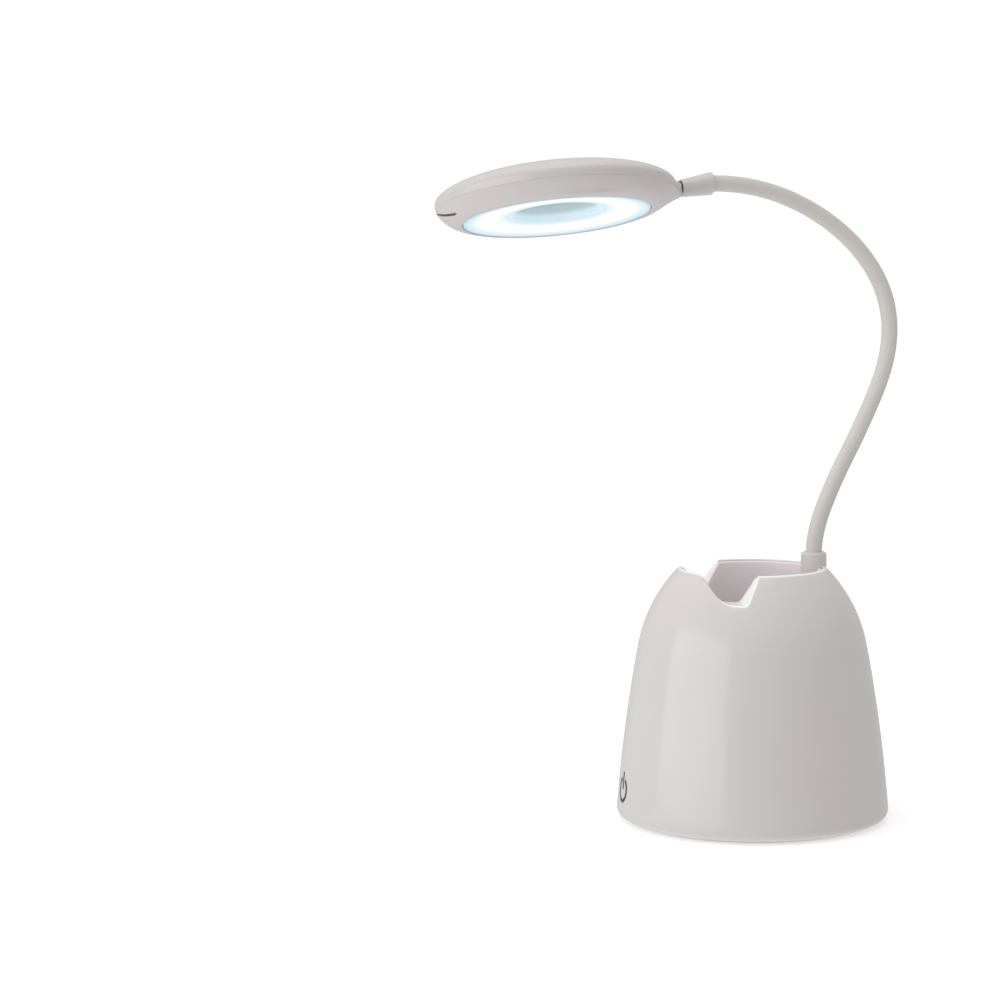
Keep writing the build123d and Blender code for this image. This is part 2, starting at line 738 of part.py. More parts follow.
def make_parts():
    parts = {
        "outer_shell": outer_shell(),
        "pen_cup": pen_cup(),
        "base_cover": base_cover(),
        "rubber_pad": rubber_pad(),
        "cover_screws": cover_screws(),
        "ballast_plate": ballast_plate(),
        "battery_tray": battery_tray(),
        "battery": battery(),
        "control_board": control_board(),
        "charging_socket": charging_socket(),
        "charge_indicator": charge_indicator(),
        "power_mark": power_mark(),
        "touch_electrode": touch_electrode(),
        "touch_contact": touch_contact(),
        "root_ferrule": root_ferrule(),
        "root_nut": root_nut(),
        "base_leads": base_leads(),
    }
    gooseneck(parts)
    head = {
        "front_housing": front_housing(),
        "back_cover": back_cover(),
        "inner_ring": inner_ring(),
        "diffuser": diffuser(),
        "light_guide": light_guide(),
        "reflector": reflector(),
        "led_board": led_board(),
        "leds": leds(),
        "head_screws": head_screws(),
        "head_ferrule": head_ferrule(),
        "head_leads": head_leads(),
    }
    place = head_frame()
    for name, solid in head.items():
        parts[name] = place * solid
    return parts


os.makedirs("parts", exist_ok=True)
for name, solid in make_parts().items():
    export_step(solid, f"parts/{name}.step")
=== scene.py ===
import json
import math

import bmesh
import bpy
import numpy as np
from mathutils import Matrix, Vector


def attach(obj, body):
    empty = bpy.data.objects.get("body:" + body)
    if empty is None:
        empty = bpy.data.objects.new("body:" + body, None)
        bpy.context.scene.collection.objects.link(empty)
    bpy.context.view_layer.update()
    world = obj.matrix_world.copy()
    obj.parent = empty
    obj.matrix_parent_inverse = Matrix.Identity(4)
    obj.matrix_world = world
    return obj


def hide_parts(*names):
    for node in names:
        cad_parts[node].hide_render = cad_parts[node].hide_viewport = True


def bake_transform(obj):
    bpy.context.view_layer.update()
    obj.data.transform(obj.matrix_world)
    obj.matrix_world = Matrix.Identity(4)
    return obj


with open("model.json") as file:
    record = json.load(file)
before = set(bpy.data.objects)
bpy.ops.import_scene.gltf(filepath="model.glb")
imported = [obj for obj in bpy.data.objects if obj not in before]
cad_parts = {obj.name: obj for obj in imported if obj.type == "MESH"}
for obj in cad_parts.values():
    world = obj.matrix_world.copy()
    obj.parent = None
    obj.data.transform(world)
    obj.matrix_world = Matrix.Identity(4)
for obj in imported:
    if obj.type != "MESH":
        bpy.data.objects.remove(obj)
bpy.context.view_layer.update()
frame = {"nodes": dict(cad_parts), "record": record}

MM = 0.001


# ------------------------------------------------------------------ small tools

def fillet_line(points, radii, steps=8):
    """A polyline whose corners are rounded: radii holds one radius for each inner corner."""
    pts = [np.array(p, float) for p in points]
    out = [pts[0]]
    for before, corner, after, radius in zip(pts, pts[1:], pts[2:], radii):
        if radius <= 0:
            out.append(corner)
            continue
        u, v = before - corner, after - corner
        u, v = u / np.linalg.norm(u), v / np.linalg.norm(v)
        half = math.acos(max(-1.0, min(1.0, float(u @ v)))) / 2
        reach = radius / math.tan(half)
        centre = corner + (u + v) / np.linalg.norm(u + v) * (radius / math.sin(half))
        a, b = corner + u * reach - centre, corner + v * reach - centre
        turn = math.acos(max(-1.0, min(1.0, float(a @ b) / radius ** 2)))
        for i in range(steps + 1):
            t = i / steps
            out.append(centre + (math.sin((1 - t) * turn) * a + math.sin(t * turn) * b) / math.sin(turn))
    out.append(pts[-1])
    return out


def arc_from(start, tangent, end, steps):
    """Points of the circle that leaves start along tangent and reaches end, and its tangent there."""
    a, b, t = np.array(start, float), np.array(end, float), np.array(tangent, float)
    n = np.array((-t[1], t[0]))
    d = b - a
    radius = float(d @ d) / (2 * float(d @ n))
    centre = a + n * radius
    angle = 2 * math.asin(np.linalg.norm(d) / (2 * abs(radius)))
    sign = 1 if radius > 0 else -1
    pts = []
    for i in range(steps + 1):
        w = sign * angle * i / steps
        c, s = math.cos(w), math.sin(w)
        r = a - centre
        pts.append(centre + np.array((c * r[0] - s * r[1], s * r[0] + c * r[1])))
    w = sign * angle
    c, s = math.cos(w), math.sin(w)
    return pts, np.array((c * t[0] - s * t[1], s * t[0] + c * t[1]))


def new_piece(name, verts, faces, matrix=None, sharp=None, material=None, second=None, second_faces=()):
    """A mesh object from points in millimetres, where some faces may have a second material."""
    mesh = bpy.data.meshes.new(name)
    mesh.from_pydata([tuple(v) for v in verts], [], faces)
    for i in second_faces:
        mesh.polygons[i].material_index = 1
    mesh.validate()
    if matrix is not None:
        mesh.transform(matrix)
    mesh.transform(Matrix.Scale(MM, 4))
    work = bmesh.new()
    work.from_mesh(mesh)
    bmesh.ops.remove_doubles(work, verts=work.verts, dist=1e-6)
    bmesh.ops.recalc_face_normals(work, faces=work.faces)
    for face in work.faces:
        face.smooth = True
    if sharp is not None:
        for edge in work.edges:
            if len(edge.link_faces) == 2 and edge.calc_face_angle(0) > math.radians(sharp):
                edge.smooth = False
    work.to_mesh(mesh)
    work.free()
    piece = bpy.data.objects.new(name, mesh)
    bpy.context.scene.collection.objects.link(piece)
    if material is not None:
        mesh.materials.append(material)
    if second is not None:
        mesh.materials.append(second)
    return piece


def grid_faces(rows, columns, closed_columns=True, closed_rows=False):
    """Quads between the points of a grid, stored row by row."""
    faces = []
    for i in range(rows if closed_rows else rows - 1):
        k = (i + 1) % rows
        for j in range(columns if closed_columns else columns - 1):
            m = (j + 1) % columns
            faces.append((i * columns + j, i * columns + m, k * columns + m, k * columns + j))
    return faces


def lathe(name, outline, segments=96, matrix=None, sharp=30, material=None, closed=True):
    """A turned piece: outline is a closed chain of (radius, height)."""
    verts = []
    for r, z in outline:
        for j in range(segments):
            a = 2 * math.pi * j / segments
            verts.append((r * math.cos(a), r * math.sin(a), z))
    faces = grid_faces(len(outline), segments, closed_rows=closed)
    return new_piece(name, verts, faces, matrix, sharp, material)


# ------------------------------------------------------------------ materials

def material(name, colour, rough=0.3, metal=0.0, coat=0.0, vary=0.03, scale=40.0, bump=0.02, bump_scale=900.0,
             rough_vary=0.05, sheen=0.0, subsurface=0.0, transmission=0.0, emission=None, strength=0.0, ior=1.5,
             second=None):
    """A shader with a slight unevenness in its colour, its roughness and its surface."""
    mat = bpy.data.materials.new(name)
    mat.use_nodes = True
    nodes, links = mat.node_tree.nodes, mat.node_tree.links
    shader = nodes["Principled BSDF"]
    shader.inputs["Metallic"].default_value = metal
    shader.inputs["Coat Weight"].default_value = coat
    shader.inputs["Coat Roughness"].default_value = 0.08
    shader.inputs["Sheen Weight"].default_value = sheen
    shader.inputs["Subsurface Weight"].default_value = subsurface
    shader.inputs["Subsurface Scale"].default_value = 0.002
    shader.inputs["Transmission Weight"].default_value = transmission
    shader.inputs["IOR"].default_value = ior
    if emission is not None:
        shader.inputs["Emission Color"].default_value = (*emission, 1)
        shader.inputs["Emission Strength"].default_value = strength
    place = nodes.new("ShaderNodeTexCoord")
    cloud = nodes.new("ShaderNodeTexNoise")
    cloud.inputs["Scale"].default_value = scale
    cloud.inputs["Detail"].default_value = 4
    links.new(place.outputs["Object"], cloud.inputs["Vector"])
    tint = nodes.new("ShaderNodeValToRGB")
    tint.color_ramp.interpolation = "EASE"
    tint.color_ramp.elements[0].position = 0.3
    tint.color_ramp.elements[1].position = 0.7
    tint.color_ramp.elements[0].color = (*[c * (1 - vary) for c in colour], 1)
    tint.color_ramp.elements[1].color = (*(second or [min(1, c * (1 + vary)) for c in colour]), 1)
    links.new(cloud.outputs["Fac"], tint.inputs["Fac"])
    links.new(tint.outputs["Color"], shader.inputs["Base Color"])
    wear = nodes.new("ShaderNodeMapRange")
    wear.interpolation_type = "SMOOTHSTEP"
    wear.inputs["From Min"].default_value = 0.3
    wear.inputs["From Max"].default_value = 0.7
    wear.inputs["To Min"].default_value = max(0.0, rough - rough_vary)
    wear.inputs["To Max"].default_value = min(1.0, rough + rough_vary)
    smear = nodes.new("ShaderNodeTexNoise")
    smear.inputs["Scale"].default_value = scale * 2.7
    smear.inputs["Detail"].default_value = 3
    links.new(place.outputs["Object"], smear.inputs["Vector"])
    links.new(smear.outputs["Fac"], wear.inputs["Value"])
    links.new(wear.outputs["Result"], shader.inputs["Roughness"])
    grain = nodes.new("ShaderNodeTexNoise")
    grain.inputs["Scale"].default_value = bump_scale
    grain.inputs["Detail"].default_value = 2
    links.new(place.outputs["Object"], grain.inputs["Vector"])
    relief = nodes.new("ShaderNodeBump")
    relief.inputs["Strength"].default_value = bump
    relief.inputs["Distance"].default_value = 0.0004
    links.new(grain.outputs["Fac"], relief.inputs["Height"])
    links.new(relief.outputs["Normal"], shader.inputs["Normal"])
    return mat


def glow(mat, distance, low, high, stops):
    """Lets a material shine in bands: distance(nodes, links) gives a length in metres, stops are (share, colour)."""
    nodes, links = mat.node_tree.nodes, mat.node_tree.links
    span = nodes.new("ShaderNodeMapRange")
    span.inputs["From Min"].default_value = low
    span.inputs["From Max"].default_value = high
    links.new(distance(nodes, links), span.inputs["Value"])
    ramp = nodes.new("ShaderNodeValToRGB")
    ramp.color_ramp.interpolation = "EASE"
    first, last = ramp.color_ramp.elements[0], ramp.color_ramp.elements[1]
    first.position, first.color = stops[0][0], (*stops[0][1], 1)
    last.position, last.color = stops[-1][0], (*stops[-1][1], 1)
    for share, colour in stops[1:-1]:
        stop = ramp.color_ramp.elements.new(share)
        stop.color = (*colour, 1)
    links.new(span.outputs["Result"], ramp.inputs["Fac"])
    links.new(ramp.outputs["Color"], nodes["Principled BSDF"].inputs["Emission Color"])
    nodes["Principled BSDF"].inputs["Emission Strength"].default_value = 1.0


def from_point(point):
    """The distance from a point, as a node of the shader."""
    def build(nodes, links):
        place = nodes.new("ShaderNodeTexCoord")
        length = nodes.new("ShaderNodeVectorMath")
        length.operation = "DISTANCE"
        length.inputs[1].default_value = point
        links.new(place.outputs["Object"], length.inputs[0])
        return length.outputs["Value"]
    return build


def along_axis(point, axis):
    """The height above a point along an axis, as a node of the shader."""
    def build(nodes, links):
        place = nodes.new("ShaderNodeTexCoord")
        shift = nodes.new("ShaderNodeVectorMath")
        shift.operation = "SUBTRACT"
        shift.inputs[1].default_value = point
        links.new(place.outputs["Object"], shift.inputs[0])
        height = nodes.new("ShaderNodeVectorMath")
        height.operation = "DOT_PRODUCT"
        height.inputs[1].default_value = axis
        links.new(shift.outputs["Vector"], height.inputs[0])
        return height.outputs["Value"]
    return build


mats = {
    "white_shell": material("shell_white", (0.640, 0.592, 0.594), 0.24, coat=0.3, vary=0.0, scale=14,
                            second=(0.622, 0.612, 0.600), rough_vary=0.015, bump=0.006, bump_scale=700),
    # the liner is a lighter copy of the white plastic: painted light in the pot's shaded inside
    "pot_liner": material("pot_liner_painted_light", (0.800, 0.745, 0.762), 0.38, coat=0.1, rough_vary=0.02, vary=0.015, scale=12, bump=0.04),
    "cover_plastic": material("cover_grey", (0.45, 0.44, 0.44), 0.55, bump=0.15),
    "rubber": material("pad_rubber", (0.018, 0.018, 0.019), 0.8, bump=0.3),
    "steel": material("steel", (0.56, 0.56, 0.57), 0.3, metal=1.0, bump=0.05),
    "iron": material("iron", (0.08, 0.08, 0.085), 0.6, metal=0.6, bump=0.4),
    "tray_plastic": material("tray_black", (0.03, 0.03, 0.032), 0.5, bump=0.2),
    "cell": material("cell_wrap", (0.34, 0.36, 0.38), 0.4, metal=0.4, bump=0.1),
    "circuit_green": material("circuit_green", (0.012, 0.09, 0.03), 0.4, vary=0.2, scale=300, bump=0.2),
    "indicator": material("indicator", (0.55, 0.60, 0.64), 0.2, subsurface=0.1, bump=0.01),
    "mark_black": material("mark_black", (0.006, 0.006, 0.007), 0.35, vary=0.1, bump=0.03),
    "copper": material("copper", (0.62, 0.30, 0.16), 0.3, metal=1.0, bump=0.05),
    "brass": material("brass", (0.60, 0.45, 0.18), 0.3, metal=1.0, bump=0.05),
    "wire": material("wire_red", (0.30, 0.01, 0.01), 0.5, bump=0.1),
    "sleeve": material("sleeve_silicone", (0.600, 0.570, 0.540), 0.50, coat=0.05, vary=0.02, scale=30,
                       bump=0.10, bump_scale=1600, sheen=0.08),
    "ring": material("ring_blue_painted_glow", (0.30, 0.40, 0.44), 0.35, coat=0.2, vary=0.02, scale=25, rough_vary=0.02),
    "lens": material("lens_milk", (0.26, 0.29, 0.30), 0.40, vary=0.01, scale=20, rough_vary=0.02),
    "guide": material("guide_clear", (0.85, 0.9, 0.93), 0.1, transmission=0.6, bump=0.01),
    "sheet_white": material("sheet_white", (0.8, 0.8, 0.8), 0.5, bump=0.05),
    "board_white": material("board_white", (0.72, 0.72, 0.70), 0.4, bump=0.05),
    "led": material("led_phosphor", (0.8, 0.7, 0.25), 0.4, emission=(1, 0.97, 0.9), strength=0.5, bump=0.02),
}
# a darker copy of the shell's white plastic for the head: painted shade
shaded_head_skin = material("head_white_painted_shade", (0.600, 0.548, 0.548), 0.26, coat=0.25, vary=0.0, scale=16,
                     second=(0.582, 0.566, 0.552), rough_vary=0.015, bump=0.006, bump_scale=700)
# a whiter copy of the shell's white for the rounded lip and the rim top: a painted highlight
painted_lip_highlight = material("lip_white_painted_highlight", (0.900, 0.885, 0.880), 0.22, coat=0.4, vary=0.01, scale=14, rough_vary=0.01,
                    bump=0.004, bump_scale=700)
slot_of = {row["node"]: row["material_slot"] for row in frame["record"]["subparts"]}
for node, obj in frame["nodes"].items():
    obj.data.materials.clear()
    obj.data.materials.append(mats[slot_of[node]])


def finish_piece(piece, body, slot, *nodes):
    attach(piece, body)
    if nodes:
        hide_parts(*nodes)
    return piece


# ------------------------------------------------------------------ base shell, millimetres

base_r, shell_foot, corner_r, wall_lean = 55.0, 0.8, 3.5, 4.5
shoulder_r, shoulder_z, rim_r, rim_z = 46.2, 70.5, 29.8, 102.0
wall, mouth_r, rim_lip = 2.6, 28.3, 1.5
notch_front, notch_floor_front, notch_floor_back, notch_back = -24.8, -22.0, -12.6, -6.0
notch_depth, notch_lobe, notch_hollow, notch_heel = 10.8, 3.5, 6.5, 2.5
cup_r, cup_floor_r, cup_floor_z, cup_top_drop = 26.3, 24.3, 27.0, 0.8
socket_y, socket_r, socket_top, socket_chamfer = 26.0, 5.2, 107.5, 0.9

lean = math.radians(wall_lean)
lower_arc, turn = arc_from((base_r, shell_foot + corner_r), (-math.sin(lean), math.cos(lean)),
                           (shoulder_r, shoulder_z), 200)
upper_arc, rim_turn = arc_from((shoulder_r, shoulder_z), turn, (rim_r, rim_z), 120)
wall_line = np.array(lower_arc + upper_arc[1:])


def outer_radius(z):
    return float(np.interp(z, wall_line[:, 1], wall_line[:, 0]))


notch_line = np.array(fillet_line(
    [(-60.0, rim_z + 0.0), (notch_front, rim_z + 0.0), (notch_floor_front, rim_z - notch_depth),
     (notch_floor_back, rim_z - notch_depth), (notch_back, rim_z + 0.0), (60.0, rim_z + 0.0)],
    [notch_lobe, notch_hollow, notch_heel, 0.0], 12))


def rim_height(y):
    return float(np.interp(y, notch_line[:, 0], notch_line[:, 1]))


def wall_top(angle):
    """Height at which the outer wall meets the rim or a notch, in a given direction."""
    s = math.sin(angle)
    low, high = 80.0, rim_z
    for _ in range(40):
        mid = (low + high) / 2
        if mid < rim_height(outer_radius(mid) * s):
            low = mid
        else:
            high = mid
    return (low + high) / 2


def directions():
    """Angles around the base, closer together beside the notches."""
    angles = []
    a = -90.0
    while a < 270.0 - 1e-6:
        angles.append(a)
        y = math.sin(math.radians(a))
        a += 0.45 if -0.92 < y < -0.12 else 1.5
    return [math.radians(v) for v in angles]


def shell_column(angle):
    """The closed outline of the shell in one direction: up outside, over the lip, down inside."""
    s = math.sin(angle)
    top = wall_top(angle)
    column = []
    foot = shell_foot
    for i in range(7):
        t = math.radians(-90 + 15 * i)
        column.append((base_r - corner_r + corner_r * math.cos(t), foot + corner_r + corner_r * math.sin(t)))
    corner = np.array((outer_radius(top), top))
    below = top - rim_lip * 1.3
    start = foot + corner_r
    for i in range(1, 61):
        z = start + (below - start) * (1 - (1 - i / 60) ** 1.25)
        column.append((outer_radius(z), z))
    seam = np.array((mouth_r, rim_height(mouth_r * s)))
    inward_r = max(mouth_r + 0.45, corner[0] - rim_lip * 1.15)
    inward = np.array((inward_r, rim_height(inward_r * s)))
    first = np.array(column[-1])
    for i in range(1, 9):
        t = i / 8
        column.append(tuple((1 - t) ** 2 * first + 2 * t * (1 - t) * corner + t * t * inward))
    edge_r = mouth_r + 0.3
    for i in range(1, 9):
        r = inward_r + (edge_r - inward_r) * i / 8
        column.append((r, rim_height(r * s)))
    seam_z = rim_height(mouth_r * s)
    column.append((mouth_r + 0.08, seam_z - 0.12))
    column.append((mouth_r, seam_z - 0.35))
    for i in range(1, 7):
        z = seam_z - 0.35 + (84.0 - seam_z + 0.35) * i / 6
        column.append((mouth_r, z))
    for i in range(1, 25):
        z = 84.0 + (3.4 - 84.0) * i / 24
        column.append((max(mouth_r, outer_radius(max(z, start)) - wall), z))
    column.append((base_r - corner_r - 2.0, foot))
    return column


# rows of the shell whose faces carry the painted highlight along the lip
lip_highlight_first, lip_highlight_last = 70, 84


def shell_piece():
    angles = directions()
    columns = [shell_column(a) for a in angles]
    rows = len(columns[0])
    verts = [(columns[j][i][0] * math.cos(a), columns[j][i][0] * math.sin(a), columns[j][i][1])
             for i in range(rows) for j, a in enumerate(angles)]
    faces = grid_faces(rows, len(angles), closed_rows=True)
    # the lip's faces get the whiter material, which paints the highlight along the rim
    lip = range(lip_highlight_first * len(angles), lip_highlight_last * len(angles))
    return new_piece("base_shell", verts, faces, sharp=40, material=mats["white_shell"], second=painted_lip_highlight,
                     second_faces=lip)


finish_piece(shell_piece(), "base", "white_shell", "outer_shell")


def liner_column(angle):
    """The pot's liner in one direction: its top, its inner wall, its floor, and back underneath."""
    s = math.sin(angle)
    outer = mouth_r - 0.06

    def top_at(r):
        return min(rim_height(r * s), rim_z - cup_top_drop)

    column = [(outer, top_at(outer) - 0.5), (outer - 0.15, top_at(outer - 0.15) - 0.05)]
    for i in range(1, 5):
        r = outer - 0.15 + (cup_r + 0.6 - outer + 0.15) * i / 4
        column.append((r, top_at(r)))
    lip = top_at(cup_r)
    first, corner, last = (np.array((cup_r + 0.6, top_at(cup_r + 0.6))), np.array((cup_r, lip)),
                           np.array((cup_r - 0.03, lip - 0.9)))
    for i in range(1, 6):
        t = i / 5
        column.append(tuple((1 - t) ** 2 * first + 2 * t * (1 - t) * corner + t * t * last))
    bottom = cup_floor_z + 3.0
    for i in range(1, 31):
        z = lip - 0.9 + (bottom - lip + 0.9) * i / 30
        share = (z - cup_floor_z) / (rim_z - cup_floor_z)
        column.append((cup_floor_r + (cup_r - 0.03 - cup_floor_r) * share, z))
    wide = column[-1][0]
    for i in range(1, 7):
        t = math.radians(15 * i)
        column.append((wide - 3.0 + 3.0 * math.cos(t), bottom - 3.0 * math.sin(t)))
    for r in (18.0, 12.0, 6.0, 0.02):
        column.append((r, cup_floor_z))
    column.append((0.02, cup_floor_z - 1.8))
    column.append((wide, cup_floor_z - 1.8))
    column.append((wide + 1.8, cup_floor_z + 2.0))
    column.append((mouth_r - 0.3, 84.0))
    return column


def liner_piece():
    angles = directions()
    columns = [liner_column(a) for a in angles]
    rows = len(columns[0])
    verts = [(columns[j][i][0] * math.cos(a), columns[j][i][0] * math.sin(a), columns[j][i][1])
             for i in range(rows) for j, a in enumerate(angles)]
    faces = grid_faces(rows, len(angles), closed_rows=True)
    return new_piece("pot_liner", verts, faces, sharp=40, material=mats["pot_liner"])


finish_piece(liner_piece(), "base", "pot_liner", "pen_cup")

post = [(3.35, 60.0), (socket_r, 60.0), (socket_r, socket_top - socket_chamfer * 1.2),
        (socket_r - 0.12, socket_top - socket_chamfer * 0.75), (socket_r - 0.4, socket_top - socket_chamfer * 0.35),
        (socket_r - 0.8, socket_top - 0.08), (socket_r - 1.1, socket_top), (3.75, socket_top),
        (3.5, socket_top - 0.08), (3.4, socket_top - 0.3), (3.35, socket_top - 0.8)]
finish_piece(lathe("arm_socket", post, 48, Matrix.Translation((0, socket_y, 0)), 40, mats["sleeve"]),
             "base", "sleeve")


# ------------------------------------------------------------------ gooseneck

arm_r, arm_length, joint_count = 3.3, 206.0, 14
pitch = arm_length / joint_count
link_bends = [-12.5, -12.0, -5.0, -0.5, 0.5, 6.5, 14.0, 19.5, 19.5, 14.5, 11.5, 10.0, 10.5, 10.5, 5.1]
lean_joints, lean_at_joint = (2, 4), -6.6
neck_y, neck_z, arm_in_neck = 67.3, 12.1, 4.0


def along(bend, length, s):
    if abs(bend) < 1e-6:
        return Matrix.Translation((0, 0, s))
    angle = math.radians(bend) * s / length
    rho = length / math.radians(bend)
    return (Matrix.Translation((0, -rho * (1 - math.cos(angle)), rho * math.sin(angle)))
            @ Matrix.Rotation(angle, 4, "X"))


link_frames = [Matrix.Translation((0, socket_y, socket_top))]
centreline = []
samples = 12
for number, bend in enumerate(link_bends, start=1):
    half = number in (1, len(link_bends))
    length = pitch / 2 if half else pitch
    count = samples // 2 if half else samples
    for i in range(count):
        centreline.append((link_frames[-1] @ along(bend, length, length * i / count)).to_translation())
    end = link_frames[-1] @ along(bend, length, length)
    if number in lean_joints:
        end = end @ Matrix.Rotation(math.radians(lean_at_joint), 4, "Y")
    link_frames.append(end)
centreline.append(link_frames[-1].to_translation())
line = np.array([tuple(p) for p in centreline])
for _ in range(14):
    line[1:-1] = line[1:-1] * 0.5 + (line[:-2] + line[2:]) * 0.25

root_dir = np.array((0.0, 0.0, 1.0))
tip_dir = np.array(link_frames[-1].to_3x3() @ Vector((0, 0, 1)))
tangents = np.gradient(line, axis=0)
tangents[0], tangents[-1] = root_dir, tip_dir
tangents /= np.linalg.norm(tangents, axis=1)[:, None]
sides = [np.array((1.0, 0.0, 0.0))]
for t in tangents[1:]:
    s = sides[-1] - (sides[-1] @ t) * t
    sides.append(s / np.linalg.norm(s))


def ring(centre, tangent, side, radius, count=28):
    up = np.cross(tangent, side)
    return [centre + radius * (math.cos(2 * math.pi * k / count) * side + math.sin(2 * math.pi * k / count) * up)
            for k in range(count)]


def sleeve_piece(number):
    """The skin around one joint, from the middle of one link to the middle of the next."""
    first, last = (number - 1) * samples, number * samples
    rings = []
    if number == 1:
        rings += [ring(line[0] - root_dir * d, root_dir, sides[0], arm_r) for d in (6.0, 3.0, 0.5)]
    rings += [ring(line[i], tangents[i], sides[i], arm_r) for i in range(first, last + 1)]
    if number == joint_count:
        rings += [ring(line[-1] + tip_dir * d, tip_dir, sides[-1], arm_r) for d in (0.5, 2.0, arm_in_neck - 0.2)]
    count = len(rings[0])
    verts = [p for r in rings for p in r]
    faces = grid_faces(len(rings), count)
    faces.append(tuple(reversed(range(count))))
    faces.append(tuple(range((len(rings) - 1) * count, len(rings) * count)))
    piece = new_piece(f"sleeve_{number:02d}", verts, faces, sharp=60, material=mats["sleeve"])
    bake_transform(piece)
    if number == 1:
        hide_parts("gooseneck_root")
    if number == joint_count:
        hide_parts("gooseneck_tip")
    else:
        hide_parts(f"gooseneck_link_{number:02d}")
    return piece


for number in range(1, joint_count + 1):
    sleeve_piece(number)

head_frame = link_frames[-1] @ Matrix.Translation((0, -neck_z, neck_y)) @ Matrix.Rotation(math.radians(-90), 4, "X")


# ------------------------------------------------------------------ touch mark

mark_z, mark_r, mark_line, mark_gap = 13.5, 5.3, 1.5, 56.0
mark_bar_top, mark_bar_bottom = 7.15, 0.25


def on_wall(u, v, proud):
    """A point of the front wall, u to the right and v above the mark's middle."""
    z = mark_z + v
    r = outer_radius(z) + proud
    return (u, -math.sqrt(r * r - u * u), z)


def mark_strip(name, inner, outer):
    """A thin raised strip between two lines of points on the wall."""
    count = len(inner)
    verts = ([on_wall(u, v, 0.07) for u, v in inner] + [on_wall(u, v, 0.07) for u, v in outer]
             + [on_wall(u, v, -0.3) for u, v in inner] + [on_wall(u, v, -0.3) for u, v in outer])
    faces = []
    for i in range(count - 1):
        a, b, c, d = i, i + 1, count + i, count + i + 1
        faces += [(a, b, d, c), (2 * count + a, 2 * count + c, 2 * count + d, 2 * count + b),
                  (a, 2 * count + a, 2 * count + b, b), (c, d, 2 * count + d, 2 * count + c)]
    for i in (0, count - 1):
        faces.append((i, count + i, 3 * count + i, 2 * count + i))
    return new_piece(name, verts, faces, sharp=40, material=mats["mark_black"])


arc = [math.radians(90 + mark_gap / 2 + (360 - mark_gap) * i / 60) for i in range(61)]
mark_ring = mark_strip("power_mark_ring", [((mark_r - mark_line) * math.cos(a), (mark_r - mark_line) * math.sin(a))
                                           for a in arc], [(mark_r * math.cos(a), mark_r * math.sin(a)) for a in arc])
finish_piece(mark_ring, "base", "mark_black", "power_mark")
heights = [mark_bar_bottom + (mark_bar_top - mark_bar_bottom) * i / 12 for i in range(13)]
mark_bar = mark_strip("power_mark_bar", [(-mark_line / 2, v) for v in heights], [(mark_line / 2, v) for v in heights])
finish_piece(mark_bar, "base", "mark_black")


# ------------------------------------------------------------------ head, in its own frame

head_middle = tuple(head_frame.to_translation() * MM)
head_axis = tuple(head_frame.to_3x3() @ Vector((0, 0, 1)))
glow(mats["lens"], from_point(head_middle), 0.019, 0.0375, [
    (0.0, (0.36, 0.50, 0.56)), (0.16, (0.54, 0.63, 0.66)), (0.36, (0.79, 0.78, 0.77)), (0.60, (0.79, 0.78, 0.77)),
    (0.84, (0.44, 0.56, 0.63)), (1.0, (0.28, 0.42, 0.52))])
# the funnel's wall glows bright beside the lens and fades to dark towards the back: painted light from the lens and
# painted shade deeper in the hole
glow(mats["ring"], along_axis(head_middle, head_axis), 0.0022, 0.0122, [
    (0.0, (0.40, 0.50, 0.52)), (0.18, (0.40, 0.49, 0.51)), (0.42, (0.24, 0.26, 0.27)), (1.0, (0.13, 0.14, 0.145))])

head_r, head_wide_z, dome_h, part_z, part_gap = 48.0, 9.0, 10.5, 6.6, 0.03
bezel_r, bezel_mid_r, bezel_mid_z = 38.4, 44.6, 2.9
lens_r, lens_low, lens_t, lens_rise, ring_r = 37.3, 0.2, 1.8, 2.2, 19.4
ring_front_r, ring_waist_r, ring_back_r, ring_waist_z = 18.0, 17.3, 18.9, 10.0
dish_r, dish_half, dish_y, dish_rim_z = 60.0, 24.5, 12.5, 18.3
neck_r, neck_len, neck_throat_r, neck_throat_z, slot_w = 4.6, 13.6, 3.5, 10.4, 0.7
throat_y = neck_y - neck_len
fairing, fairing_spread = 6.9, 29.0
dish_z = dish_rim_z + math.sqrt(dish_r ** 2 - dish_half ** 2)


def outline_reach(angle):
    """How much further than the disc the head reaches, towards the neck."""
    off = abs((math.degrees(angle) - 90 + 180) % 360 - 180)
    return head_r / math.cos(math.radians(max(0.0, fairing_spread - off))) - head_r


def fairing_swell(angle):
    """How much the dome is filled out above the neck."""
    off = (math.degrees(angle) - 90 + 180) % 360 - 180
    return 2.6 * math.exp(-(off / 5.5) ** 2)


def head_angles():
    angles = []
    a = -90.0
    while a < 270.0 - 1e-6:
        angles.append(a)
        off = abs((a - 90 + 180) % 360 - 180)
        a += 0.6 if off < 30 or off > 150 else 2.0
    return [math.radians(v) for v in angles]


def cut_at_slot(x, y, limit):
    return (x, min(y, limit))


def dome_height(r, big):
    return head_wide_z + dome_h * math.sqrt(max(0.0, 1 - (r / big) ** 2))


def soft_min(a, b, k):
    h = max(k - abs(a - b), 0.0) / k
    return min(a, b) - h * h * k * 0.25


def back_surface(x, y, z):
    """The dome's height with the shallow dish taken out of it."""
    inside = dish_r ** 2 - x * x - (y - dish_y) ** 2
    if inside <= 0:
        return z
    return soft_min(z, dish_z - math.sqrt(inside), 0.35)


